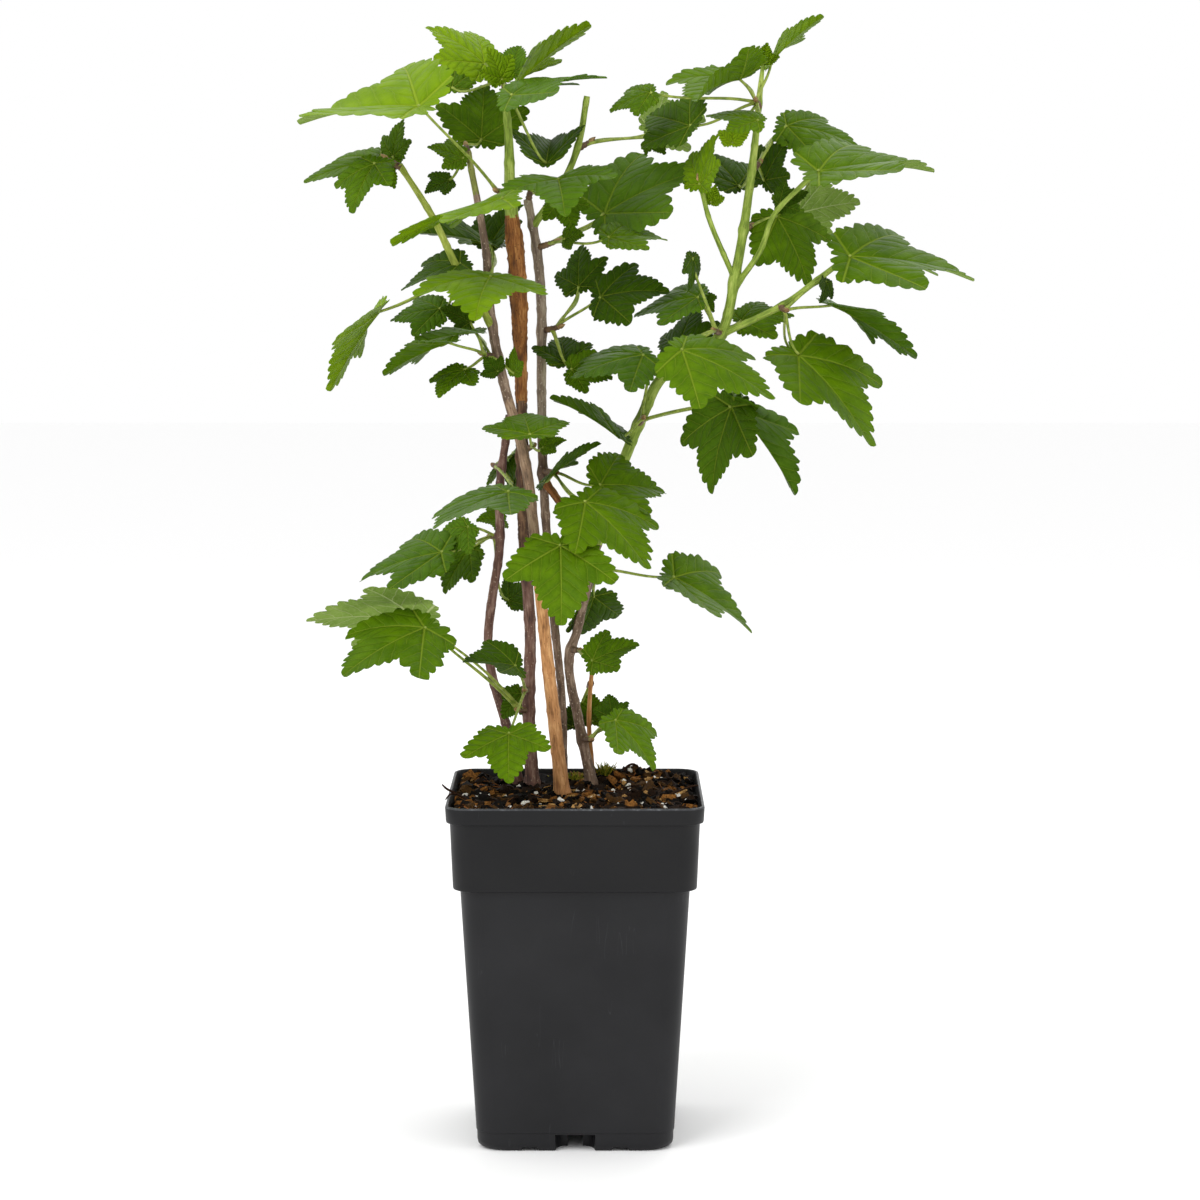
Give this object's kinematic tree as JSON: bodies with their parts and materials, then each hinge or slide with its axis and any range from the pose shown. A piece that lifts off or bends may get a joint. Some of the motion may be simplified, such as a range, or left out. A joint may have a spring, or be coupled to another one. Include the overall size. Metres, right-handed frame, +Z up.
{
  "type": "potted white currant bush",
  "caption": "Young currant bush with upright woody stems, green shoots and lobed leaves in a tall square nursery pot.",
  "frame": {"origin": "middle of the flat underside of the pot", "axes": "+Z up along the stems, -Y to the side that is seen from in front, +X to the right of that view"},
  "size_m": [0.3905, 0.2199, 0.6647],
  "materials": {
    "pot_plastic": "matte, faintly grained",
    "potting_mix": "coarse bark and peat with white perlite",
    "bark": "grey-brown to tan bark, finely furrowed",
    "green_shoot": "smooth green shoot",
    "leaf": "satin leaf with paler veins and underside"
  },
  "bodies": {
    "root": {"pot": "pot_plastic", "potting_mix": "potting_mix", "front_stem": "bark", "left_stem": "bark", "middle_stem": "bark", "back_stem": "bark", "right_stem": "bark", "thin_stem": "bark", "right_shoot": "green_shoot", "left_shoot": "green_shoot", "left_branch": "green_shoot", "right_branch": "green_shoot", "side_shoot": "green_shoot", "cut_twig": "green_shoot", "broken_stub": "bark", "crown_tip_leaves": "leaf", "upper_node_leaves": "leaf", "front_top_leaves": "leaf", "left_tip_leaves": "leaf", "left_shoot_leaves": "leaf", "front_mid_leaves": "leaf", "front_low_leaves": "leaf", "back_top_leaves": "leaf", "cut_twig_leaves": "leaf", "back_upper_leaves": "leaf", "back_mid_leaves": "leaf", "right_low_leaves": "leaf", "right_mid_leaves": "leaf", "side_shoot_leaves": "leaf", "side_shoot_low_leaves": "leaf", "right_branch_leaves": "leaf", "right_node_leaves": "leaf", "right_upper_leaves": "leaf", "left_branch_leaves": "leaf", "right_top_leaves": "leaf", "middle_leaves": "leaf", "back_low_leaves": "leaf", "left_upper_leaves": "leaf", "left_mid_leaves": "leaf", "left_low_leaves": "leaf", "foot_leaves": "leaf", "heart_leaves": "leaf", "right_heart_leaves": "leaf", "right_knee_leaves": "leaf", "right_foot_leaves": "leaf", "thin_stem_leaves": "leaf"}
  },
  "joints": []
}
